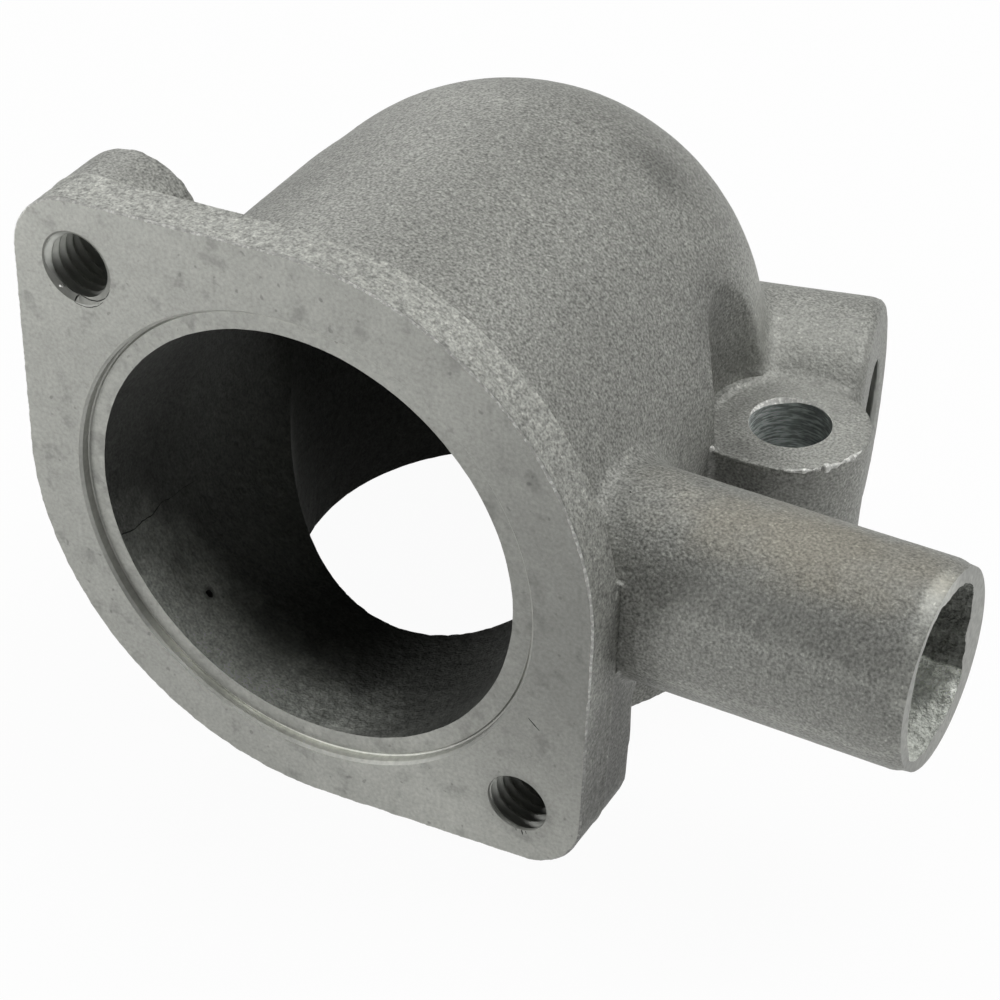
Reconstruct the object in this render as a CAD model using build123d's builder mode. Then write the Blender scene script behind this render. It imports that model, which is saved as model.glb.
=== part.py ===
from build123d import *
import os

# Thermostat housing: a one-piece cast aluminium elbow. Millimetres, +Z up, Y runs into the front face.
# The origin is the centre of the thermostat recess, on the machined front face.

# Water way: in through the front face, round the elbow and down through the base
way_radius = 24.8
way_draft = 1.2
core_shift = -0.2
down_way_radius = 25.1
elbow_depth = 44.9
base_drop = 33.5

# Thermostat recess in the front face
recess_radius = 27.4
recess_depth = 1.1

# Cast body round the water way
front_leg_radius = 29.7
body_radius = 29.3
body_lift = 0.4
blend_length = 8.0

# Front flange: a disc and two corners drawn round it, for two screws
flange_radius = 34.2
flange_thickness = 5.4
flange_lift = 0.9
flange_shift = 0.2
upper_corner_radius = 7.9
lower_corner_radius = 7.55
upper_boss_depth = 12.2
lower_boss_depth = 11.0
screw_circle_radius = 36.05
screw_angle = 135.5
screw_drill_radius = 3.4
upper_sink_radius = 4.2
lower_sink_radius = 3.6
sink_angle = 90

# Side spigot along +X, for a hose
spigot_depth = 15.6
spigot_rise = -1.6
spigot_root_radius = 11.3
spigot_tip_radius = 11.1
spigot_reach = 65.5
spigot_grip_length = 12.0
spigot_root_round = 2.5
spigot_bore_radius = 8.3
spigot_core_shift = 0.9
spigot_core_lift = 0.4
spigot_edge_bevel = 1.5
spigot_edge_rise = 0.7
spigot_mouth_bevel = 0.8

# Tall base lug on the spigot side, with the clearance that its bolt head needs above it
lug_offset = 35.1
lug_setback = 0.7
lug_radius = 9.0
lug_draft = 3.0
lug_top = -0.3
lug_hole_radius = 4.6
head_clearance_radius = 9.5

# Low base lug on the other side
low_lug_height = 12.0

# Sensor boss behind the tall lug
boss_radius = 13.3
boss_direction = 14.5
boss_offset = 10.0
boss_drop = 9.7
boss_reach = 40.9
boss_root_round = 2.0
boss_edge_round = 1.4
sensor_drill_radius = 6.2
sensor_mouth_bevel = 0.8

base = Plane.XY.offset(-base_drop)
front = Plane.XZ
flange_centre = Vector(flange_shift, flange_lift)
upper_screw = flange_centre + Vector(screw_circle_radius, 0).rotate(Axis.Z, screw_angle)
lower_screw = flange_centre - Vector(screw_circle_radius, 0).rotate(Axis.Z, screw_angle)
rim_step = flange_radius - front_leg_radius
lug_depth = elbow_depth + lug_setback
leg_axis = Plane(origin=(0, 0, body_lift), x_dir=(0, 1, 0), z_dir=(1, 0, 0))
elbow_plane = front.offset(-elbow_depth)
spigot_plane = Plane(origin=(0, spigot_depth, spigot_rise), x_dir=(1, 0, 0), z_dir=(0, -1, 0))
spigot_mouth = Plane(
    origin=spigot_plane.from_local_coords((spigot_reach, spigot_core_lift, spigot_core_shift)),
    z_dir=spigot_plane.x_dir,
)
boss_frame = Plane.XY.offset(-boss_drop).move(Location((0, elbow_depth, 0), (0, 0, boss_direction)))
boss_face = Plane(
    origin=boss_frame.from_local_coords((boss_reach, boss_offset, 0)),
    z_dir=boss_frame.x_dir,
)

os.makedirs("parts", exist_ok=True)

with BuildPart() as core:
    # Drafted front way, with the recess at its mouth
    with BuildSketch(front):
        with Locations((core_shift, 0)):
            Circle(way_radius)
    extrude(amount=-elbow_depth, taper=way_draft)
    with BuildSketch(front):
        Circle(recess_radius)
    extrude(amount=-recess_depth)

    # Down way with its domed end
    with BuildSketch(elbow_plane):
        with BuildLine():
            Polyline((0, 0), (0, -base_drop), (down_way_radius, -base_drop), (down_way_radius, 0))
            CenterArc((0, 0), down_way_radius, 0, 90)
            Line((0, down_way_radius), (0, 0))
        make_face()
    revolve(axis=Axis(elbow_plane.origin, elbow_plane.y_dir))

with BuildPart() as flange:
    # Flange outline, cut back behind the plate except at the lower corner, machined face at Y = 0
    with BuildSketch(front):
        with Locations(flange_centre):
            Circle(flange_radius)
        with Locations(upper_screw):
            Circle(upper_corner_radius)
        with Locations(lower_screw):
            Circle(lower_corner_radius)
        make_hull()
    extrude(amount=-lower_boss_depth)
    with BuildSketch(front.offset(-lower_boss_depth)):
        Rectangle(4 * flange_radius, 4 * flange_radius)
        with Locations((lower_screw.X - lower_corner_radius, spigot_rise)):
            Rectangle(
                2 * flange_radius,
                2 * flange_radius,
                align=(Align.MIN, Align.MAX),
                mode=Mode.SUBTRACT,
            )
    extrude(amount=lower_boss_depth - flange_thickness, mode=Mode.SUBTRACT)

    # Screw boss behind the upper corner
    with BuildSketch(front.offset(-flange_thickness)):
        with Locations(upper_screw):
            Circle(upper_corner_radius)
    extrude(amount=flange_thickness - upper_boss_depth)

with BuildPart() as housing:
    add(flange.part)

    # Front leg and the dome that closes the elbow
    with BuildSketch(leg_axis):
        with BuildLine():
            Line((0, 0), (0, front_leg_radius))
            Line((0, front_leg_radius), (elbow_depth - blend_length, front_leg_radius))
            Spline(
                (elbow_depth - blend_length, front_leg_radius),
                (elbow_depth, body_radius),
                tangents=((1, 0), (1, 0)),
            )
            CenterArc((elbow_depth, 0), body_radius, 0, 90)
            Line((elbow_depth + body_radius, 0), (0, 0))
        make_face()
    revolve(axis=Axis(leg_axis.origin, leg_axis.x_dir))

    # Leg down to the base
    with BuildSketch(base):
        with Locations((0, elbow_depth)):
            Circle(body_radius)
    extrude(amount=base_drop + body_lift)

    # Spigot, with a plain stretch for the hose and a round where it leaves the leg
    with BuildSketch(spigot_plane):
        with BuildLine():
            Polyline(
                (0, 0),
                (0, spigot_root_radius),
                (spigot_reach - spigot_grip_length, spigot_tip_radius),
                (spigot_reach - spigot_edge_bevel, spigot_tip_radius),
                (spigot_reach, spigot_tip_radius - spigot_edge_rise),
                (spigot_reach, 0),
                close=True,
            )
        make_face()
    revolve(axis=Axis(spigot_plane.origin, spigot_plane.x_dir))
    root_edges = housing.edges(Select.NEW).filter_by(
        lambda edge: edge.bounding_box().max.Y > lower_boss_depth
    )
    fillet(root_edges, radius=min(spigot_root_round, rim_step / 1.5))

    # Sensor boss
    with BuildSketch(boss_face):
        Circle(boss_radius)
    extrude(amount=-boss_reach)
    fillet(housing.edges(Select.NEW), radius=boss_root_round)
    fillet(housing.faces().filter_by(boss_face).edges(), radius=boss_edge_round)

    # Tall lug, narrower towards the base, and the low lug
    with BuildSketch(Plane.XY.offset(lug_top)):
        with Locations((lug_offset, lug_depth)):
            Circle(lug_radius)
            Rectangle(lug_offset, 2 * lug_radius, align=(Align.MAX, Align.CENTER))
    extrude(amount=-base_drop - lug_top, taper=lug_draft)
    with BuildSketch(base):
        with Locations((-lug_offset, lug_depth)):
            Circle(lug_radius)
            Rectangle(lug_offset, 2 * lug_radius, align=(Align.MIN, Align.CENTER))
    extrude(amount=low_lug_height)

    # Bolt head clearance cut into the dome over the tall lug
    with BuildSketch(Plane.XY.offset(lug_top)):
        with Locations((lug_offset, lug_depth)):
            Circle(head_clearance_radius)
    extrude(amount=body_radius, mode=Mode.SUBTRACT)

    # Base bolt holes
    with BuildSketch(base):
        with Locations((lug_offset, lug_depth), (-lug_offset, lug_depth)):
            Circle(lug_hole_radius)
    extrude(amount=base_drop + lug_top, mode=Mode.SUBTRACT)

    # Water way and thermostat recess
    add(core.part, mode=Mode.SUBTRACT)

    # Spigot bore, open into the front leg, off centre as its core lay, with a bevelled mouth
    with Locations(spigot_mouth):
        CounterSinkHole(
            spigot_bore_radius,
            spigot_bore_radius + spigot_mouth_bevel,
            spigot_reach - way_radius / 2,
            sink_angle,
        )

    # Sensor hole, open into the down leg, with a bevelled mouth
    with Locations(boss_face):
        CounterSinkHole(
            sensor_drill_radius,
            sensor_drill_radius + sensor_mouth_bevel,
            boss_reach - way_radius / 2,
            sink_angle,
        )

    # Flange screw holes, right through the corner bosses
    with Locations(front):
        with Locations(upper_screw):
            CounterSinkHole(screw_drill_radius, upper_sink_radius, upper_boss_depth, sink_angle)
        with Locations(lower_screw):
            CounterSinkHole(screw_drill_radius, lower_sink_radius, lower_boss_depth, sink_angle)

housing.part.label = "housing"
export_step(housing.part, "parts/housing.step")
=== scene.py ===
import bpy
import bmesh
import math
import numpy as np
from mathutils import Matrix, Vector, noise
from mathutils.bvhtree import BVHTree
from mathutils.geometry import convex_hull_2d


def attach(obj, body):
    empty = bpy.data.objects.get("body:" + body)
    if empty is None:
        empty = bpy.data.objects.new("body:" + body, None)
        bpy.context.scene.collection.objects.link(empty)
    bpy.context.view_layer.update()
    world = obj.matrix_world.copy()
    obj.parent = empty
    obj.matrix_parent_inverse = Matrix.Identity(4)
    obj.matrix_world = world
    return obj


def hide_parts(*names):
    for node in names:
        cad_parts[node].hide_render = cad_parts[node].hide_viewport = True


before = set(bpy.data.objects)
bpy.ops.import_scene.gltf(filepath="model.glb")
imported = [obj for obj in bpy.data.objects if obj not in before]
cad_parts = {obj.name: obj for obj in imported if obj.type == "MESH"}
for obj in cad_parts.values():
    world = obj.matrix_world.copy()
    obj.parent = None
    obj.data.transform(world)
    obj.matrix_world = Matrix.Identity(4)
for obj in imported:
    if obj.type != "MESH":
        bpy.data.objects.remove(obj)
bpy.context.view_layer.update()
MM = 0.001

# Sizes of the casting, in millimetres, as in the CAD source
WAY_R, DOWN_R, CORE_X = 24.8, 25.1, -0.2
ELBOW_Y, BASE_Z = 44.9, -33.5
RECESS_R, RECESS_DEPTH = 27.4, 1.1
FLANGE_X, FLANGE_Z, FLANGE_R = 0.2, 0.9, 34.2
UPPER_R, LOWER_R = 7.9, 7.55
UPPER_DEPTH, LOWER_DEPTH = 12.2, 11.0
SCREW_RING, SCREW_ANGLE = 36.05, 135.5
SCREW_R, THREAD_R, PITCH = 3.4, 4.05, 1.25
SINK_UPPER, SINK_LOWER = 4.2, 3.6
SPIGOT_Y, SPIGOT_Z, SPIGOT_R, SPIGOT_END = 15.6, -1.6, 11.1, 65.5
LUG_X, LUG_Y, LUG_R, LUG_TOP, LUG_HOLE, HEAD_R = 35.1, 45.6, 9.0, -0.3, 4.6, 9.55
BOSS_ANGLE, BOSS_OFFSET, BOSS_Z, BOSS_REACH = 14.5, 10.0, -9.7, 40.9
BOSS_R, PORT_R, PORT_THREAD, PORT_PITCH = 13.3, 6.2, 7.0, 1.5

turn = math.radians(SCREW_ANGLE)
UPPER = (FLANGE_X + SCREW_RING * math.cos(turn), FLANGE_Z + SCREW_RING * math.sin(turn))
LOWER = (FLANGE_X - SCREW_RING * math.cos(turn), FLANGE_Z - SCREW_RING * math.sin(turn))
boss_turn = math.radians(BOSS_ANGLE)
BOSS_DIR = Vector((math.cos(boss_turn), math.sin(boss_turn), 0))
BOSS_SIDE = Vector((-math.sin(boss_turn), math.cos(boss_turn), 0))
PORT_MOUTH = Vector((0, ELBOW_Y, BOSS_Z)) + BOSS_DIR * BOSS_REACH + BOSS_SIDE * BOSS_OFFSET
X, Y, Z = Vector((1, 0, 0)), Vector((0, 1, 0)), Vector((0, 0, 1))

# Fineness of the work, coarser for a quick export
VOXEL, SPAN = ((0.42, 0.8))
EVENING, ROUNDING = ((4, 40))
SKIN_TRIANGLES = 70000

FINISHES = (
    "cast_skin", "cast_inside", "milled_face", "seat_wall", "cut_thread", "drilled_hole", "ground_end",
    "burr_glint", "dark_pit",
)
SKIN, INSIDE, MILLED, SEAT, THREAD, DRILLED, GROUND, BURR_GLINT, PIT = range(len(FINISHES))
for name in FINISHES:
    bpy.data.materials.new(name).use_nodes = True


def new_piece(name, verts, faces, finish=SKIN):
    """A mesh object from points in millimetres, in one of the finishes."""
    mesh = bpy.data.meshes.new(name)
    mesh.from_pydata([tuple(c * MM for c in v) for v in verts], [], faces)
    mesh.update()
    for slot in FINISHES:
        mesh.materials.append(bpy.data.materials[slot])
    mesh.polygons.foreach_set("material_index", [finish] * len(mesh.polygons))
    piece = bpy.data.objects.new(name, mesh)
    bpy.context.scene.collection.objects.link(piece)
    return piece


def grid_solid(name, rings, finish=SKIN, closed=False):
    """A solid from rings of equal point count, capped at each end or closed into a ring."""
    count = len(rings[0])
    verts = [p for ring in rings for p in ring]
    total = len(rings)
    faces = []
    for r in range(total if closed else total - 1):
        low, high = r * count, (r + 1) % total * count
        for i in range(count):
            j = (i + 1) % count
            faces.append((low + i, low + j, high + j, high + i))
    if not closed:
        faces.append(tuple(reversed(range(count))))
        faces.append(tuple((total - 1) * count + i for i in range(count)))
    piece = new_piece(name, verts, faces, finish)
    work = bmesh.new()
    work.from_mesh(piece.data)
    bmesh.ops.triangulate(work, faces=[f for f in work.faces if len(f.verts) > 4])
    bmesh.ops.recalc_face_normals(work, faces=work.faces)
    work.to_mesh(piece.data)
    work.free()
    return piece


def turned(origin, axis, side, radius_at, stations, count, finish=SKIN):
    """A solid round an axis; radius_at(distance along, angle) gives each point."""
    origin, other = Vector(origin), axis.cross(side)
    rings = []
    for d in stations:
        ring = []
        for i in range(count):
            a = 2 * math.pi * i / count
            ring.append(origin + axis * d + (side * math.cos(a) + other * math.sin(a)) * radius_at(d, a))
        rings.append(ring)
    return grid_solid("turned", rings, finish)


def hoop(origin, axis, side, section_at, count, finish=SKIN):
    """A closed ring round an axis; section_at(angle) gives its (distance along, radius) corners."""
    origin, other = Vector(origin), axis.cross(side)
    rings = []
    for i in range(count):
        a = 2 * math.pi * i / count
        out = side * math.cos(a) + other * math.sin(a)
        rings.append([origin + axis * d + out * r for d, r in section_at(a)])
    return grid_solid("hoop", rings, finish, closed=True)


def plain(radius):
    return lambda d, a: radius


def stepped(pairs):
    """Radius along the axis from (distance, radius) pairs."""
    ds, rs = [p[0] for p in pairs], [p[1] for p in pairs]
    return lambda d, a: float(np.interp(d, ds, rs))


def outline(grow=0.0):
    """The flange's outline in the front plane, as (x, z) pairs."""
    dots = []
    for (cx, cz), r in (((FLANGE_X, FLANGE_Z), FLANGE_R), (UPPER, UPPER_R), (LOWER, LOWER_R)):
        for k in range(0, 360, 2):
            a = math.radians(k)
            dots.append((cx + (r + grow) * math.cos(a), cz + (r + grow) * math.sin(a)))
    return [dots[i] for i in convex_hull_2d(dots)]


def evenly(pairs, step):
    """Points along a closed outline at an even spacing, each with its outward direction."""
    loop = [Vector((x, z)) for x, z in pairs]
    spots = []
    for a, b in zip(loop, loop[1:] + loop[:1]):
        n = max(1, round((b - a).length / step))
        spots += [a.lerp(b, k / n) for k in range(n)]
    middle = sum(spots, Vector((0, 0))) / len(spots)
    result = []
    for i, p in enumerate(spots):
        along = (spots[(i + 1) % len(spots)] - spots[i - 1]).normalized()
        out = Vector((along.y, -along.x))
        result.append((p, out if out.dot(p - middle) > 0 else -out))
    return result


def prism(pairs, y0, y1):
    return grid_solid("prism", [[(x, y0, z) for x, z in pairs], [(x, y1, z) for x, z in pairs]])


def block(low, high, finish):
    (x0, y0, z0), (x1, y1, z1) = low, high
    rings = [[(x0, y0, z), (x1, y0, z), (x1, y1, z), (x0, y1, z)] for z in (z0, z1)]
    return grid_solid("block", rings, finish)


def lump(centre, radii, seed, finish):
    """A small uneven ball."""
    work = bmesh.new()
    bmesh.ops.create_icosphere(work, subdivisions=3, radius=1.0)
    verts = []
    for v in work.verts:
        swell = 1 + 0.25 * noise.noise(v.co * 1.7 + Vector((seed, 0, 0)))
        verts.append([c + r * p * swell for c, r, p in zip(centre, radii, v.co)])
    faces = [tuple(v.index for v in f.verts) for f in work.faces]
    work.free()
    return new_piece("lump", verts, faces, finish)


def bead(points, radius_at, seed, finish, sides=10):
    """An uneven thread of metal along a line of points."""
    rings = []
    for k, p in enumerate(points):
        ahead = Vector(points[min(k + 1, len(points) - 1)]) - Vector(points[max(k - 1, 0)])
        ahead.normalize()
        side = ahead.orthogonal().normalized()
        other = ahead.cross(side)
        swell = 1 + 0.6 * noise.noise(Vector(p) * 1.9 + Vector((0, seed, 0)))
        r = radius_at(k / (len(points) - 1)) * swell
        ring = []
        for i in range(sides):
            a = 2 * math.pi * i / sides
            ring.append(Vector(p) + (side * math.cos(a) + other * math.sin(a)) * r)
        rings.append(ring)
    return grid_solid("bead", rings, finish)


def apply_all(piece):
    """Makes a piece's modifiers part of its mesh."""
    bpy.context.view_layer.update()
    graph = bpy.context.evaluated_depsgraph_get()
    mesh = bpy.data.meshes.new_from_object(piece.evaluated_get(graph))
    piece.modifiers.clear()
    old = piece.data
    piece.data = mesh
    bpy.data.meshes.remove(old)


def combine(piece, tool, operation):
    """Adds a tool to a piece, or cuts it away, and deletes the tool."""
    step = piece.modifiers.new("step", "BOOLEAN")
    step.operation = operation
    step.solver = "MANIFOLD"
    step.object = tool
    apply_all(piece)
    bpy.data.objects.remove(tool)


def add(piece, tool):
    combine(piece, tool, "UNION")


def cut(piece, tool):
    combine(piece, tool, "DIFFERENCE")


def thread_radius(minor, major, pitch):
    """Radius of a right-hand thread along its axis, for turned()."""
    def radius(d, a):
        phase = (d / pitch - a / (2 * math.pi)) % 1.0
        ramp = min(phase, 1 - phase) * 2
        return minor + (major - minor) * min(1.0, max(0.0, (ramp - 0.12) / 0.70))
    return radius


def waves(place, layers):
    """Height of a rough skin at a place, from layers of (height, waves per millimetre)."""
    return sum(height * noise.noise(place * often) for height, often in layers)


# The raw casting: the CAD solid with its machined places filled, which are cut again after the grain
cast = bpy.data.objects.new("housing_casting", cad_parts["housing"].data.copy())
bpy.context.scene.collection.objects.link(cast)
work = bmesh.new()
work.from_mesh(cast.data)
bmesh.ops.remove_doubles(work, verts=work.verts, dist=1e-7)
bmesh.ops.recalc_face_normals(work, faces=work.faces)
work.to_mesh(cast.data)
work.free()
cast.data.materials.clear()
for name in FINISHES:
    cast.data.materials.append(bpy.data.materials[name])

ALLOWANCE, WALL_FILL, HOLE_FILL, PORT_FILL = 1.3, 0.35, 0.4, 1.4
face_fill = prism(outline(WALL_FILL), -ALLOWANCE, 2.2)
cut(face_fill, turned((CORE_X, 0, 0), Y, X, plain(WAY_R), (-3, 4), 160))
rim_fill = prism(outline(WALL_FILL), -ALLOWANCE, 5.0)
cut(rim_fill, prism(outline(-2.0), -3, 6))
add(cast, face_fill)
add(cast, rim_fill)
for (px, pz), depth in ((UPPER, UPPER_DEPTH), (LOWER, LOWER_DEPTH)):
    add(cast, turned((px, 0, pz), Y, X, plain(SINK_UPPER + HOLE_FILL), (-ALLOWANCE, depth - 0.02), 48))
lug_span = (BASE_Z - ALLOWANCE, LUG_TOP - 0.02)
add(cast, turned((LUG_X, LUG_Y, 0), Z, X, plain(LUG_HOLE + HOLE_FILL), lug_span, 48))
add(cast, turned(PORT_MOUTH, -BOSS_DIR, Z, plain(PORT_R + PORT_FILL), (0.02, 15.0), 48))
spigot_span = (27.0, SPIGOT_END + ALLOWANCE)
add(cast, turned((0, SPIGOT_Y, SPIGOT_Z), X, Y, plain(SPIGOT_R - 0.35), spigot_span, 64))
add(cast, turned(PORT_MOUTH, -BOSS_DIR, Z, plain(BOSS_R - 0.02), (1.6, 15.2), 128))

# Ledge at the foot of the bolt head's clearance
LEDGE_R = 9.4
ledge = []
for k in range(36):
    a = math.radians(134 + 2.8 * k)
    ledge.append((LUG_X + LEDGE_R * math.cos(a), LUG_Y + LEDGE_R * math.sin(a), LUG_TOP + 0.15))
add(cast, bead(ledge, lambda t: 0.3 + 0.5 * math.sin(math.pi * t), 3.0, SKIN, 12))

remesh = cast.modifiers.new("remesh", "REMESH")
remesh.mode = "VOXEL"
remesh.voxel_size = VOXEL * MM
apply_all(cast)


def even_out(passes, weights=""):
    """Smooths the casting, all over or by a vertex group."""
    smooth = cast.modifiers.new("smooth", "SMOOTH")
    smooth.factor = 0.5
    smooth.iterations = passes
    smooth.vertex_group = weights
    apply_all(cast)


even_out(EVENING)

# Soft round where the sensor boss runs out on the lug, and lighter ones by the upper corner and on the boss
START, RUN, REACH = Vector((25.5, 51.9, LUG_TOP)), Vector((13.9, 3.8, 0)), 2.6
LIGHT = 0.3
crease = cast.vertex_groups.new(name="crease")
for v in cast.data.vertices:
    p = v.co / MM - START
    t = min(1.0, max(0.0, p.dot(RUN) / RUN.length_squared))
    weight = min(1.0, 1.6 * (1 - (p - RUN * t).length / REACH))
    x, y, z = v.co / MM
    by_corner = y > 7.0 and x < -12 and z > 12 and math.hypot(x, z) > 31
    if by_corner or (y > 53 and x > 31 and z > 0.8):
        weight = max(weight, LIGHT)
    if weight > 0:
        crease.add([v.index], weight, "REPLACE")
even_out(ROUNDING, "crease")

# The wave and grain of the cast skin
co = np.empty(len(cast.data.vertices) * 3)
cast.data.vertices.foreach_get("co", co)
co = co.reshape(-1, 3)
nor = np.empty(len(co) * 3)
cast.data.vertices.foreach_get("normal", nor)
nor = nor.reshape(-1, 3)
SKIN_WAVES = ((0.03, 0.12), (0.014, 0.5), (0.02, 1.3))
push = np.array([waves(Vector(p), SKIN_WAVES) for p in co / MM])
co += nor * (push - 0.02)[:, None] * MM
cast.data.vertices.foreach_set("co", co.ravel())
cast.data.update()

thin = cast.modifiers.new("thin", "DECIMATE")
thin.ratio = min(1.0, SKIN_TRIANGLES / (2 * len(cast.data.polygons)))
apply_all(cast)

# Faces in and close to the water way take the inside finish
NEAR = 0.7
centres = np.empty(len(cast.data.polygons) * 3)
cast.data.polygons.foreach_get("center", centres)
fx, fy, fz = centres.reshape(-1, 3).T / MM
way = np.hypot(fx - CORE_X, fz)
leg = np.hypot(fx, fy - ELBOW_Y)
ball = np.sqrt(fx**2 + (fy - ELBOW_Y) ** 2 + fz**2)
hollow = ((way < WAY_R + NEAR) & (fy < ELBOW_Y)) | ((leg < DOWN_R + NEAR) & (fz < 1)) | (ball < DOWN_R + NEAR)
cast.data.polygons.foreach_set("material_index", np.where(hollow, INSIDE, SKIN))

# The water way as its two cores left it
CORE_WAVES, WAY_DRAFT = ((0.05, 0.3), (0.035, 0.9), (0.02, 2.2)), math.radians(1.2)


def way_radius(d, a):
    p = Vector((20 * math.cos(a), d, 20 * math.sin(a)))
    return WAY_R + 0.15 - math.tan(WAY_DRAFT) * d + waves(p, CORE_WAVES)


def down_radius(d, a):
    p = Vector((20 * math.cos(a), 20 * math.sin(a), d))
    round_end = math.sqrt(max(0.0, DOWN_R**2 - max(0.0, d) ** 2))
    return max(0.05, round_end + 0.18 + waves(p, CORE_WAVES))


OVERRUN = 2
steps = [-OVERRUN + SPAN * k for k in range(int((ELBOW_Y + OVERRUN) / SPAN) + 1)]
cut(cast, turned((CORE_X, 0, 0), Y, X, way_radius, steps, int(150 / SPAN), INSIDE))
steps = [BASE_Z - OVERRUN + SPAN * k for k in range(int(-(BASE_Z - OVERRUN) / SPAN) + 1)]
steps += [DOWN_R * math.sin(math.radians(2.5 * k)) for k in range(1, 36)]
cut(cast, turned((0, ELBOW_Y, 0), Z, X, down_radius, steps, int(150 / SPAN), INSIDE))

# Clearance for the bolt head: full on the dome's side, and kept short at angles that face the sensor boss
HEAD_START = LUG_TOP + 0.45
KEPT_SHORT = ((0, 0), (50, 0), (70, 2.5), (128, 2.5), (134, 0.3), (152, 0), (360, 0))


def head_room(d, a):
    angles, amounts = zip(*KEPT_SHORT)
    short = float(np.interp(math.degrees(a), angles, amounts))
    foot = 0.2 * max(0.0, 1 - (d - HEAD_START) / 1.2)
    return HEAD_R - short - foot + 0.8 * waves(Vector((9 * math.cos(a), 9 * math.sin(a), d)), CORE_WAVES)


steps = [HEAD_START + 0.4 * k for k in range(60)]
cut(cast, turned((LUG_X, LUG_Y, 0), Z, X, head_room, steps, 120))

# Milled front and base faces, the recess and the relief groove at its foot
BIG = 90.0
cut(cast, block((-BIG, -BIG, -BIG), (BIG, 0, BIG), MILLED))
cut(cast, block((-BIG, -BIG, -BIG), (BIG, BIG, BASE_Z), MILLED))
SEAT_EDGE = 0.3
seat = stepped([(-3, RECESS_R + 3.3), (SEAT_EDGE, RECESS_R), (RECESS_DEPTH, RECESS_R - 0.05)])
seat_cut = turned((0, 0, 0), Y, X, seat, (-3, SEAT_EDGE, RECESS_DEPTH), 256, SEAT)
sides = seat_cut.data.polygons
sides.foreach_set("material_index", [MILLED if f.normal.y > 0.9 else SEAT for f in sides])
cut(cast, seat_cut)
GROOVE_TOP, GROOVE_IN, GROOVE_OUT = 0.6, RECESS_R - 0.40, RECESS_R - 0.06
groove = (
    (GROOVE_TOP, GROOVE_IN), (RECESS_DEPTH + 0.05, GROOVE_IN), (RECESS_DEPTH + 0.18, RECESS_R - 0.22),
    (RECESS_DEPTH + 0.12, GROOVE_OUT), (GROOVE_TOP, GROOVE_OUT),
)
cut(cast, hoop((0, 0, 0), Y, X, lambda a: groove, 256, SEAT))

# The flange's rim, and its edge broken unevenly by the cutter
RIM_BACK, RIM_CLEAR, EDGE_BREAK = 5.7, 2.5, 0.20
rim = []
for p, out in evenly(outline(), 0.35):
    wave = 0.10 * noise.noise(Vector((p.x * 0.9, 3.1, p.y * 0.9)))
    wave += 0.07 * noise.noise(Vector((p.x * 3, 7, p.y * 3)))
    width = EDGE_BREAK + wave
    section = [(-1.0, -width - 1.0), (width, 0.0)]
    for y in (1.0, 2.0, 3.0, 4.0, 4.8):
        section.append((y, 0.07 * noise.noise(Vector((p.x * 0.6, y * 0.6, p.y * 0.6))) - 0.02))
    section += [(RIM_BACK, 0.16), (RIM_BACK, RIM_CLEAR), (-1.0, RIM_CLEAR)]
    rim.append([(p.x + out.x * reach, y, p.y + out.y * reach) for y, reach in section])
rim_cut = grid_solid("rim", rim, SKIN, closed=True)
sides = rim_cut.data.polygons
sides.foreach_set("material_index", [BURR_GLINT if f.center.y < 0.12 * MM else SKIN for f in sides])
cut(cast, rim_cut)

# Tapped screw holes, each with a small chamfer, the upper one's wider
for (px, pz), depth, start, crest in (
    (UPPER, UPPER_DEPTH, -2.0, 3.48),
    (LOWER, LOWER_DEPTH, 0.3, 3.42),
):
    steps = [start + k * 0.125 for k in range(int((depth + 2 - start) / 0.125))]
    cut(cast, turned((px, 0, pz), Y, X, thread_radius(crest, THREAD_R, PITCH), steps, 84, THREAD))
CONE_DEPTH, CONE_R = 0.36, SINK_UPPER + 0.05
cone = stepped([(-2, SINK_UPPER + 4.05), (0, CONE_R), (CONE_DEPTH, SCREW_R + 0.12), (1.0, 2.4)])
cut(cast, turned((UPPER[0], 0, UPPER[1]), Y, X, cone, (-2, 0, CONE_DEPTH, 1.0), 84, SEAT))
mouth = stepped([(-2, SINK_LOWER + 2.0), (0.06, SINK_LOWER - 0.1), (0.5, SCREW_R + 0.04)])
cut(cast, turned((LOWER[0], 0, LOWER[1]), Y, X, mouth, (-2, 0.06, 0.5), 84, SEAT))

# Torn metal at the upper hole and tool marks at the lower one, as (distance, angle) round the hole
TORN = (
    (((3.45, 268), (3.65, 282), (3.95, 298), (4.15, 312), (4.3, 326), (4.32, 342)), 0.05),
    (((4.35, 262), (4.5, 274), (4.55, 288), (4.5, 302), (4.4, 314)), 0.045),
    (((3.5, 266), (3.8, 263), (4.3, 262)), 0.09),
)
TOOL_MARKS = ((((3.5, 279), (4.2, 280)), 0.05), (((3.5, 286), (4.0, 287)), 0.04), (((3.5, 268), (3.9, 269)), 0.04))
for (px, pz), marks, chamfer in ((UPPER, TORN, 0.5), (LOWER, TOOL_MARKS, 0.0)):
    for route, width in marks:
        rings, angles = zip(*route)
        line = []
        for k in range(20):
            t = k / 19 * (len(route) - 1)
            ring = float(np.interp(t, range(len(route)), rings))
            a = math.radians(float(np.interp(t, range(len(route)), angles)))
            ring += 0.05 * noise.noise(Vector((k * 0.6, ring, 0)))
            y = max(0.0, chamfer * (CONE_R - ring))
            line.append((px + ring * math.cos(a), y, pz + ring * math.sin(a)))
        cut(cast, bead(line, lambda t: width * (0.4 + math.sin(math.pi * t)), ring, PIT, 6))
GLINT_R, glint_turn = 3.75, math.radians(232)
glint = (UPPER[0] + GLINT_R * math.cos(glint_turn), 0.24, UPPER[1] + GLINT_R * math.sin(glint_turn))
add(cast, lump(glint, (0.3, 0.16, 0.16), 6.0, BURR_GLINT))

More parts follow.
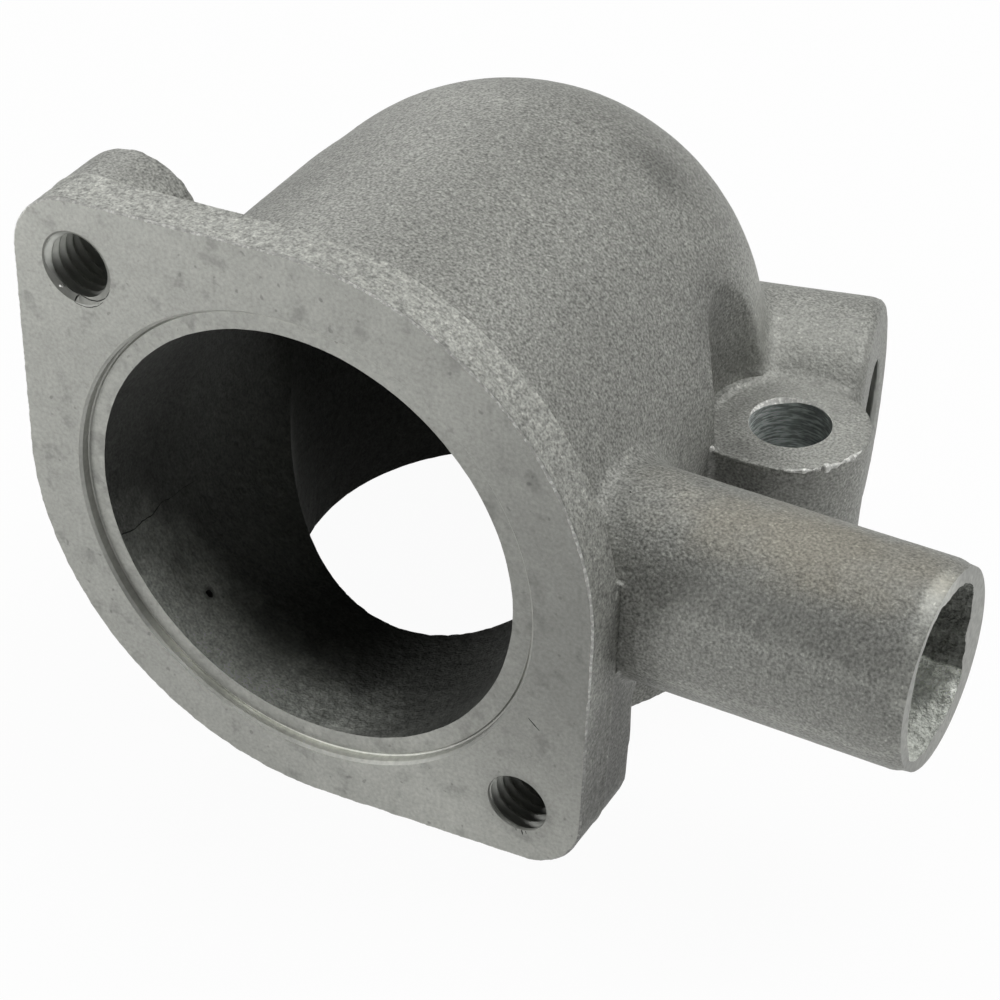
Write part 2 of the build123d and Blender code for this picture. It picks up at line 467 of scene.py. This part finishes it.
# Lug hole and sensor port
cut(cast, turned((LUG_X, LUG_Y, 0), Z, X, plain(LUG_HOLE), (BASE_Z - 2, LUG_TOP + 4), 96, DRILLED))
steps = [k * 0.15 for k in range(-14, 80)]
cut(cast, turned(PORT_MOUTH, -BOSS_DIR, Z, thread_radius(PORT_R, PORT_THREAD, PORT_PITCH), steps, 64, THREAD))
cut(cast, turned(PORT_MOUTH, -BOSS_DIR, Z, plain(PORT_R), (10, 24), 64, DRILLED))

# Spigot: ground end and the rough hole left by its core
cut(cast, block((SPIGOT_END, -BIG, -BIG), (BIG, BIG, BIG), GROUND))

# Radii of the hole's lip, from the rear side upwards and round
LIP = (5.8, 7.2, 8.8, 9.0, 9.1, 10.0, 9.8, 9.2, 8.85, 9.2, 9.8, 9.0, 8.2, 8.3, 7.7, 6.4)
LIP_LENGTH, LARGEST_HOLE = 9.0, 10.3
WRINKLES = ((0.20, 1.0), (0.20, 2.6), (0.14, 5.5))


def hole_radius(d, a):
    share = a / (2 * math.pi) * len(LIP)
    k = int(share) % len(LIP)
    t = share - int(share)
    t = t * t * (3 - 2 * t)
    lip = LIP[k] * (1 - t) + LIP[(k + 1) % len(LIP)] * t
    inner = 8.3 - 0.75 * math.cos(a) + 0.3 * math.sin(a)
    blend = min(1.0, max(0.0, (SPIGOT_END - d) / LIP_LENGTH))
    wrinkle = waves(Vector((d * 0.45, 4 * math.cos(a), 4 * math.sin(a))), WRINKLES)
    return min(LARGEST_HOLE, lip * (1 - blend) + inner * blend + wrinkle)


steps = [20 + k * 0.3 for k in range(158)]
cut(cast, turned((0, SPIGOT_Y, SPIGOT_Z), X, Y, hole_radius, steps, 144, INSIDE))

# Crack in the water way, through (depth, height) points seen from its axis
CRACK = (
    (1.3, -8.1), (3.2, -8.7), (4.9, -8.6), (6.6, -8.9), (8.6, -8.4), (10.4, -8.9), (12.4, -8.9), (14.4, -9.3),
    (16.4, -9.2),
)
depths, heights = zip(*CRACK)
tree = BVHTree.FromPolygons([v.co / MM for v in cast.data.vertices], [tuple(f.vertices) for f in cast.data.polygons])
path = []
for k in range(46):
    y = 1.3 + 0.3 * k
    z = float(np.interp(y, depths, heights)) + 0.14 * noise.noise(Vector((y * 2.2, 1, 1)))
    hit = tree.ray_cast(Vector((CORE_X, y, 0)), Vector((-24, 0, z)).normalized())[0]
    path.append(hit + Vector((-0.02, 0, 0)))
cut(cast, bead(path, lambda t: 0.09 - 0.06 * t, 2.0, PIT, 6))

# Pits in the water way, the spigot's root and the face, and a scratch in the face
cut(cast, lump((-17.5, 7.6, -18.1), (0.62, 0.42, 0.5), 3.0, PIT))
PITS = (((31.4, 13.6, 9.6), 0.26), ((-12.0, 0.05, 22.3), 0.14), ((-22.5, 0.02, 14.5), 0.16))
for k, (place, size) in enumerate(PITS):
    cut(cast, lump(place, (size, size, size), 5.0 + k, PIT))
scratch = [(27.2 + 0.12 * k, -0.02, -12.1 - 0.11 * k) for k in range(12)]
cut(cast, bead(scratch, lambda t: 0.09 * math.sin(math.pi * (0.1 + 0.8 * t)), 8.0, PIT, 6))


def flash_radius(t):
    return 0.07 + 0.34 * abs(math.sin(9 * t + 0.4)) * math.sin(math.pi * (0.05 + 0.9 * t))


# Burrs on the lug: parting flash round its edge, a full front edge and a blob at that edge's end
flash = []
for k in range(44):
    a = math.radians(-70 + 1.5 * k)
    ring = LUG_R - 0.10 + 0.14 * noise.noise(Vector((k * 0.5, 2, 2)))
    flash.append((LUG_X + ring * math.cos(a), LUG_Y + ring * math.sin(a), LUG_TOP - 0.12))
add(cast, bead(flash, flash_radius, 4.0, BURR_GLINT))
edge = [(29.4 + 0.4 * k, LUG_Y - LUG_R + 0.1, LUG_TOP - 0.16) for k in range(16)]
add(cast, bead(edge, lambda t: 0.2, 6.0, SKIN))
add(cast, lump((29.6, 36.6, 0.0), (0.5, 0.45, 0.4), 9.0, BURR_GLINT))


def hole_rim(a):
    """Broken edge of the lug's hole, widest at the rear left."""
    uneven = noise.noise(Vector((2 * math.cos(a), 2 * math.sin(a), 1)))
    width = max(0.04, 0.08 + 0.42 * max(0.0, math.cos(a - 2.3)) ** 3 + 0.10 * uneven)
    low, high, inner = LUG_TOP - width, LUG_TOP + 0.5, LUG_HOLE - 0.3
    return ((low, inner), (low, LUG_HOLE), (high, LUG_HOLE + width + 0.5), (high, inner))


# Its bright burr finish paints a glint on the rim, widest at the rear left
cut(cast, hoop((LUG_X, LUG_Y, 0), Z, X, hole_rim, 96, BURR_GLINT))

# Smooth shading, sharp at machined edges and flat on the milled faces
cast.data.update()
cast.data.shade_smooth()
cast.data.set_sharp_from_angle(angle=math.radians(38))
for f in cast.data.polygons:
    f.use_smooth = f.material_index != MILLED


class Finish:
    """Builds the nodes of one finish; every coordinate is in the part's own frame."""

    def __init__(self, name):
        self.tree = bpy.data.materials[name].node_tree
        self.shader = self.tree.nodes["Principled BSDF"]
        self.where = self.node("ShaderNodeTexCoord").outputs["Object"]
        parts = self.node("ShaderNodeSeparateXYZ")
        self.tree.links.new(self.where, parts.inputs[0])
        self.x, self.y, self.z = parts.outputs

    def node(self, kind):
        return self.tree.nodes.new(kind)

    def put(self, value, socket):
        if isinstance(value, (int, float)):
            socket.default_value = value
        else:
            self.tree.links.new(value, socket)

    def math(self, operation, a, b=0.0):
        step = self.node("ShaderNodeMath")
        step.operation = operation
        self.put(a, step.inputs[0])
        self.put(b, step.inputs[1])
        return step.outputs[0]

    def noise(self, scale, detail=2.0, rough=0.5, stretch=None):
        grain = self.node("ShaderNodeTexNoise")
        grain.inputs["Scale"].default_value = scale
        grain.inputs["Detail"].default_value = detail
        grain.inputs["Roughness"].default_value = rough
        source = self.where
        if stretch:
            mapping = self.node("ShaderNodeMapping")
            mapping.inputs["Scale"].default_value = stretch
            self.tree.links.new(self.where, mapping.inputs["Vector"])
            source = mapping.outputs["Vector"]
        self.tree.links.new(source, grain.inputs["Vector"])
        return grain.outputs["Fac"]

    def band(self, value, low, high, to_low=0.0, to_high=1.0):
        """A smooth step from to_low at low to to_high at high."""
        step = self.node("ShaderNodeMapRange")
        step.interpolation_type = "SMOOTHSTEP"
        self.put(value, step.inputs["Value"])
        for key, number in (("From Min", low), ("From Max", high), ("To Min", to_low), ("To Max", to_high)):
            step.inputs[key].default_value = number
        return step.outputs["Result"]

    def spot(self, centre, radii, soft=0.6, ragged=0.0, scale=250):
        """1 inside an ellipsoid, given in millimetres, falling to 0 past its edge."""
        away = self.node("ShaderNodeVectorMath")
        away.operation = "SUBTRACT"
        away.inputs[1].default_value = [c * MM for c in centre]
        self.tree.links.new(self.where, away.inputs[0])
        shape = self.node("ShaderNodeVectorMath")
        shape.operation = "DIVIDE"
        shape.inputs[1].default_value = [r * MM for r in radii]
        self.tree.links.new(away.outputs[0], shape.inputs[0])
        size = self.node("ShaderNodeVectorMath")
        size.operation = "LENGTH"
        self.tree.links.new(shape.outputs[0], size.inputs[0])
        reach = size.outputs["Value"]
        if ragged:
            swing = self.math("MULTIPLY", self.math("SUBTRACT", self.noise(scale), 0.5), ragged)
            reach = self.math("ADD", reach, swing)
        return self.band(reach, 1.0 - soft, 1.0 + soft, 1.0, 0.0)

    def vary(self, tone, fac, amount):
        """Tone times 1 + amount * 2 * (fac - 0.5)."""
        swing = self.math("MULTIPLY", self.math("SUBTRACT", fac, 0.5), 2 * amount)
        return self.math("MULTIPLY", tone, self.math("ADD", swing, 1.0))

    def widest(self, *masks):
        """The largest of several masks."""
        whole = masks[0]
        for mask in masks[1:]:
            whole = self.math("MAXIMUM", whole, mask)
        return whole

    def blend(self, mask, a, b):
        """a where the mask is 0 and b where it is 1."""
        return self.math("ADD", a, self.math("MULTIPLY", mask, self.math("SUBTRACT", b, a)))

    def scale_by(self, tone, mask, factor):
        """Tone times factor where the mask is 1."""
        return self.math("MULTIPLY", tone, self.math("ADD", self.math("MULTIPLY", mask, factor - 1), 1.0))

    def colour(self, tone, tint, stains=()):
        """The tone in a tint; each stain is a (mask, tint) pair."""
        base = self.node("ShaderNodeCombineXYZ")
        for i in range(3):
            base.inputs[i].default_value = tint[i]
        shade = base.outputs[0]
        for mask, other in stains:
            blend = self.node("ShaderNodeMix")
            blend.data_type = "VECTOR"
            self.tree.links.new(mask, blend.inputs["Factor"])
            self.tree.links.new(shade, blend.inputs["A"])
            blend.inputs["B"].default_value = other
            shade = blend.outputs["Result"]
        lit = self.node("ShaderNodeVectorMath")
        lit.operation = "SCALE"
        self.tree.links.new(shade, lit.inputs[0])
        self.put(tone, lit.inputs["Scale"])
        self.tree.links.new(lit.outputs[0], self.shader.inputs["Base Color"])

    def bump(self, layers):
        """Layers of (height 0 to 1, depth in millimetres)."""
        height = 0.0
        for fac, depth in layers:
            height = self.math("ADD", self.math("MULTIPLY", fac, depth), height)
        lift = self.node("ShaderNodeBump")
        lift.inputs["Strength"].default_value = 1.0
        lift.inputs["Distance"].default_value = MM
        self.tree.links.new(height, lift.inputs["Height"])
        self.tree.links.new(lift.outputs["Normal"], self.shader.inputs["Normal"])

    def surface(self, metal, rough):
        self.shader.inputs["Metallic"].default_value = metal
        self.shader.inputs["Roughness"].default_value = rough


TINT = (1.0, 1.012, 0.935)
SPECULAR = "Specular IOR Level"

# Blasted cast skin, with coarser grain on the flange's rim and calmer grain on the boss and the spigot
f = Finish("cast_skin")
fine, mid, broad, flow = f.noise(3300, 1.5), f.noise(1100, 2.0), f.noise(70, 2.0), f.noise(1450, 2.5, 0.6)
uneven = f.math("MULTIPLY", f.math("SUBTRACT", f.noise(260, 2.0), 0.5), 0.8 * MM)
depth = f.math("ADD", f.y, uneven)
on_flange = f.band(f.x, 34.5 * MM, 35.2 * MM, 1.0, 0.0)
worn = f.math("MULTIPLY", f.band(depth, 5.25 * MM, 5.65 * MM, 1.0, 0.0), on_flange)
behind, before = f.band(depth, 4.9 * MM, 5.3 * MM), f.band(depth, 5.5 * MM, 5.9 * MM, 1.0, 0.0)
back_edge = f.math("MULTIPLY", behind, before)
# Painted shadow on the rim along the upper edge of the milled face
face_edge_shadow = f.math("MULTIPLY", f.band(depth, 0.2 * MM, 0.6 * MM, 1.0, 0.0), f.band(f.z, 6 * MM, 14 * MM))
glint = f.band(f.noise(2600, 0.0), 0.72, 0.80)
# Bevel at the spigot's end: calmer grain from grinding, and lighter as a painted highlight on its lit top
ground_and_highlight = f.spot((64.8, 13.0, 8.2), (1.0, 4.4, 3.0), 0.6, 0.9)
pipe = f.band(f.x, 36 * MM, 42 * MM, 0.0, 0.25)
boss = f.spot((33, 54, 4), (10, 9, 9), 0.4)
calm = f.widest(f.math("MULTIPLY", ground_and_highlight, 0.7), pipe, f.math("MULTIPLY", boss, 0.5))
grain = f.blend(worn, f.vary(1.0, fine, 1.1), f.vary(f.vary(1.25, fine, 0.80), flow, 0.70))
grain = f.blend(calm, grain, 1.0)
tone = f.vary(f.vary(f.math("MULTIPLY", 0.30, grain), mid, 0.20), broad, 0.14)
tone = f.scale_by(f.scale_by(tone, glint, 1.35), back_edge, 1.15)
tone = f.scale_by(f.scale_by(tone, face_edge_shadow, 0.80), ground_and_highlight, 1.75)
# Painted highlight along the front edge of the head clearance
tone = f.scale_by(tone, f.spot((28.5, 38.1, 4), (0.45, 0.6, 8), 0.5), 1.25)
SKIN_PLACES = (
    ((15.0, 49.5, 25.4), (3.4, 3.5, 2.4), 0.80),  # dull mark on the dome
    ((17.6, 49.8, 23.6), (3.2, 3.5, 2.4), 0.80),
    ((26.6, 44.0, 7.5), (3.4, 5.8, 9), 0.62),  # painted shade on the wall of the head clearance
    ((27.0, 49.0, 0.2), (1.8, 5.5, 0.8), 1.12),  # painted light on the ledge at its foot
    ((33.6, 6.0, -20.0), (5, 9, 12), 0.62),  # painted shade on the flange's side under the spigot
    ((31.5, 4.0, -27.0), (7, 9, 7), 0.74),
    ((30.5, 8.0, -2.0), (6, 6, 14), 0.88),  # painted shade on the flange's side by the spigot
    ((-14.0, 3.0, 33.0), (14, 6, 6), 1.06),  # painted light on the flange's top
    ((20.0, 3.0, 27.0), (12, 6, 8), 1.06),
    ((64.6, 6.5, 4.5), (1.0, 3, 4), 1.3),  # painted highlight on the end of the spigot
    ((33.0, 56.0, 7.0), (13, 8, 6.5), 1.36),  # painted light on the top of the sensor boss
    ((36.0, 43.0, -0.3), (10, 8, 1.2), 1.26),  # painted light on the top of the lug
    # painted shade on the lug's top by the clearance wall
    ((29.2, 42.0, -0.3), (2.8, 6, 1.2), 0.84),
    ((31.0, 38.5, -2.0), (6, 3, 1.8), 0.75),  # painted shadow on the front of the lug
    ((32.0, 38.0, -8.0), (8, 3, 8), 0.55),
)
for centre, radii, factor in SKIN_PLACES:
    tone = f.scale_by(tone, f.spot(centre, radii, 0.7, 0.8), factor)
brown = f.spot((51, 15.5, 9.6), (13, 5.5, 4.5), 0.7, 1.6, 180)
f.colour(tone, TINT, ((brown, (1.02, 0.975, 0.82)),))
f.bump(((fine, 0.06), (mid, 0.14), (f.math("MULTIPLY", worn, flow), 0.16)))
f.surface(0.4, 0.6)

# Water way's cast skin, painted dark as shade, with painted light by its mouth, rougher in the spigot, and with
# painted light low down there
f = Finish("cast_inside")
fine, mid, broad = f.noise(3000, 1.0), f.noise(900, 2.0), f.noise(90, 3.0)
spigot = f.spot((56, SPIGOT_Y, SPIGOT_Z), (18, 16, 16), 0.1)
mouth = f.spot((-13, 0.0, -20), (16, 8, 12), 0.85, 0.8)
elbow = f.band(f.y, 30 * MM, 36 * MM)
height = f.math("ADD", f.z, f.math("MULTIPLY", f.noise(500, 2.0), 0.6 * MM))
lit = f.math("MULTIPLY", spigot, f.band(height, -5.9 * MM, -5.3 * MM, 1.0, 0.0))
lit_side = f.math("MULTIPLY", lit, f.band(f.z, -9.0 * MM, -7.4 * MM))
tone = f.vary(f.vary(f.vary(0.10, fine, 0.55), mid, 0.35), broad, 0.30)
# Painted light by the mouth, on the left wall further in and low by the mouth; painted shade deep in the elbow;
# darker round the large pit
for mask, factor in (
    (mouth, 8.0),
    (elbow, 0.8),
    (f.spot((-20, 24, -14), (9, 12, 16), 0.6), 2.0),
    (f.spot((4, 2, -24), (14, 8, 5), 0.8, 0.9), 1.5),
    (f.spot((-17.5, 7.6, -18.0), (1.0, 0.7, 0.8), 0.5), 0.5),
    # Less painted shade in the spigot's hole, and painted light low down in it, more on its side
    (spigot, 2.8),
    (lit, 2.5),
    (lit_side, 1.7),
):
    tone = f.scale_by(tone, mask, factor)
f.colour(tone, (1.0, 1.03, 0.95))
f.bump(((fine, 0.05), (mid, 0.22), (f.math("MULTIPLY", spigot, f.noise(1100, 3.0, 0.6)), 0.9)))
f.surface(0.1, 0.7)
# The painted shade deep in the elbow also takes its specular away
f.put(f.blend(elbow, 0.2, 0.02), f.shader.inputs[SPECULAR])

# Milled face, with smudges, dots and a stain round the lower hole
f = Finish("milled_face")
fine, mid, broad = f.noise(2300, 2.0, 0.6), f.noise(480, 3.0), f.noise(110, 3.0)
smudge = f.band(f.noise(300, 3.0, 0.6), 0.54, 0.70)
dots = f.band(f.noise(900, 1.0), 0.68, 0.76)
stain = f.spot((LOWER[0] + 0.3, 0, LOWER[1] - 0.3), (4.4, 3, 4.4), 0.15, 0.3)
tone = f.vary(f.vary(f.vary(0.370, fine, 0.34), mid, 0.14), broad, 0.12)
tone = f.scale_by(f.scale_by(tone, smudge, 0.78), dots, 0.68)
tone = f.scale_by(tone, f.spot((20, 0, -30), (20, 3, 11), 0.8, 0.5), 1.22)
tone = f.scale_by(tone, stain, 0.87)
# Painted shade on the face's right side
tone = f.scale_by(tone, f.spot((33, 0, 0), (12, 6, 24), 0.9, 0.5, 60), 0.68)
f.colour(tone, TINT)
f.bump(((fine, 0.015),))
f.surface(0.5, 0.45)

# Turned wall of the seat and the mouths of the screw holes, duller at the torn one
f = Finish("seat_wall")
torn_mouth = f.spot((UPPER[0], 0.2, UPPER[1]), (6, 2, 6), 0.2)
tone = f.vary(f.vary(0.50, f.noise(1500, 2.0), 0.25), f.noise(200, 2.0), 0.25)
# Painted light along the bottom of the seat, and a painted glint at its lower left
tone = f.scale_by(tone, f.spot((-4, 0, -28), (22, 4, 12), 0.5), 1.8)
tone = f.scale_by(tone, f.spot((-17.5, 0.4, -21.5), (4, 3, 4), 0.6), 1.25)
tone = f.scale_by(tone, torn_mouth, 0.52)
# Painted shade at the seat's lower right
tone = f.scale_by(tone, f.spot((23, 0.5, -15), (9, 3, 14), 0.5), 0.75)
f.colour(tone, TINT)
f.surface(0.25, 0.4)
f.put(f.blend(torn_mouth, 0.5, 0.0), f.shader.inputs[SPECULAR])

# Cut threads, with painted light at the upper left of each hole
f = Finish("cut_thread")
tone = f.vary(0.33, f.noise(700, 2.0), 0.3)
for px, pz in (UPPER, LOWER):
    tone = f.scale_by(tone, f.spot((px - 3.4, 1.6, pz + 1.6), (1.9, 3.4, 2.4), 0.5), 2.2)
# Painted shade deeper in at the lower right of the lower hole
tone = f.scale_by(tone, f.spot((LOWER[0] + 2.6, 5.0, LOWER[1] - 2.4), (4, 9, 3.4), 0.4), 0.7)
f.colour(tone, (1.0, 1.02, 0.95))
f.surface(0.35, 0.48)
f.shader.inputs[SPECULAR].default_value = 0.15

# Drilled holes, with the drill's rings
f = Finish("drilled_hole")
rings, streak = f.noise(4200, 2.0, 0.6, (0.12, 0.12, 1.0)), f.noise(900, 2.0)
tone = f.scale_by(f.vary(0.50, streak, 0.6), f.band(rings, 0.42, 0.60), 2.3)
# Painted shade on the right side of the lug's hole
tone = f.math("MULTIPLY", tone, f.band(f.x, (LUG_X - 3.0) * MM, (LUG_X + 0.5) * MM, 1.0, 0.40))
f.colour(tone, (0.97, 1.03, 1.0))
f.bump(((rings, 0.12),))
f.surface(0.4, 0.45)

# Ground end of the spigot
f = Finish("ground_end")
fine, scratches = f.noise(1700, 2.0), f.noise(1200, 2.0, 0.5, (0.15, 1.0, 1.0))
tone = f.vary(f.vary(0.33, fine, 0.35), scratches, 0.25)
# Painted highlight on the top of the spigot's end
tone = f.scale_by(tone, f.spot((64.6, 13.2, 8.2), (1.3, 5, 3), 0.5, 0.5), 1.7)
tone = f.scale_by(tone, f.spot((64.6, 8.0, -9.5), (4, 6, 4), 0.7, 0.6), 0.8)
f.colour(tone, TINT)
f.bump(((scratches, 0.04), (fine, 0.05)))
f.surface(0.5, 0.45)

# Torn burrs, bright as fresh metal and as painted glints, with painted shade down the flange's side
f = Finish("burr_glint")
spark = f.band(f.noise(2300, 1.0), 0.48, 0.62)
tone = f.scale_by(f.vary(0.62, f.noise(1800, 2.0), 0.5), spark, 1.5)
tone = f.scale_by(tone, f.spot((31, 0, -26), (10, 4, 16), 0.5), 0.55)
f.colour(tone, (1.0, 1.0, 0.95))
f.bump(((f.noise(2300, 1.0), 0.04),))
f.surface(0.1, 0.4)

# Near-black tone in the pits, cracks, scratch and tool marks
f = Finish("dark_pit")
f.colour(f.vary(0.05, f.noise(900, 2.0), 0.4), (1.0, 1.0, 0.95))
f.surface(0.2, 0.8)

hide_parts("housing")
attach(cast, "root")

# White floor that keeps the shadow; rays for the picture and for reflections see it white
FLOOR, WHITE_SHARE = 4000, 0.96
corners = [(x, y, BASE_Z) for x, y in ((-FLOOR, -FLOOR), (FLOOR, -FLOOR), (FLOOR, FLOOR), (-FLOOR, FLOOR))]
floor = new_piece("floor", corners, [(0, 1, 2, 3)])
floor.data.materials.clear()
bpy.data.materials.new("floor_white").use_nodes = True
floor.data.materials.append(bpy.data.materials["floor_white"])
f = Finish("floor_white")
f.shader.inputs["Base Color"].default_value = (0.8, 0.8, 0.8, 1)
f.surface(0.0, 1.0)
f.shader.inputs[SPECULAR].default_value = 0.0
rays, glow, mix = (f.node("ShaderNode" + kind) for kind in ("LightPath", "Emission", "MixShader"))
seen = f.widest(*(rays.outputs[kind] for kind in ("Is Camera Ray", "Is Glossy Ray", "Is Transmission Ray")))
f.put(f.math("MULTIPLY", seen, WHITE_SHARE), mix.inputs[0])
f.put(f.shader.outputs[0], mix.inputs[1])
f.put(glow.outputs[0], mix.inputs[2])
f.put(mix.outputs[0], f.tree.nodes["Material Output"].inputs[0])

# Light
world = bpy.data.worlds.new("studio")
world.use_nodes = True
world.node_tree.nodes["Background"].inputs["Color"].default_value = (1, 1, 1, 1)
world.node_tree.nodes["Background"].inputs["Strength"].default_value = 0.05
bpy.context.scene.world = world


def lamp(name, place, size, power):
    """A round lamp that faces the middle of the casting, in metres and watts."""
    data = bpy.data.lights.new(name, "AREA")
    data.shape = "DISK"
    data.size = size
    data.energy = power
    lit = bpy.data.objects.new(name, data)
    lit.location = place
    lit.visible_camera = False
    lit.rotation_euler = (Vector((0, 0.03, 0)) - Vector(place)).to_track_quat("-Z", "Y").to_euler()
    bpy.context.scene.collection.objects.link(lit)


lamp("top", (0.0, 0.05, 0.75), 0.5, 1.44)
lamp("right_top", (0.32, 0.3, 0.62), 0.35, 2.32)
lamp("right_front", (0.38, 0.05, 0.62), 0.35, 0.21)
lamp("left_back", (-0.45, 0.5, 0.4), 0.45, 1.92)
lamp("right_back", (0.6, 0.45, 0.3), 0.45, 0.50)
lamp("left_near", (-0.2, -0.2, 0.0), 0.1, 0.36)

# Camera, solved from the round edges and the outline in the photo
EYE, DOWN, ROUND = (0.138711, -0.206958, 0.187437), 36.170, 29.024
lens = bpy.data.cameras.new("photo_view")
lens.sensor_width = 36
lens.lens = 108
lens.clip_start = 0.01
camera = bpy.data.objects.new("photo_view", lens)
camera.location = EYE
camera.rotation_euler = (math.radians(90 - DOWN), 0, math.radians(ROUND))
bpy.context.scene.collection.objects.link(camera)
bpy.context.scene.camera = camera
bpy.context.scene.view_settings.view_transform = "Standard"
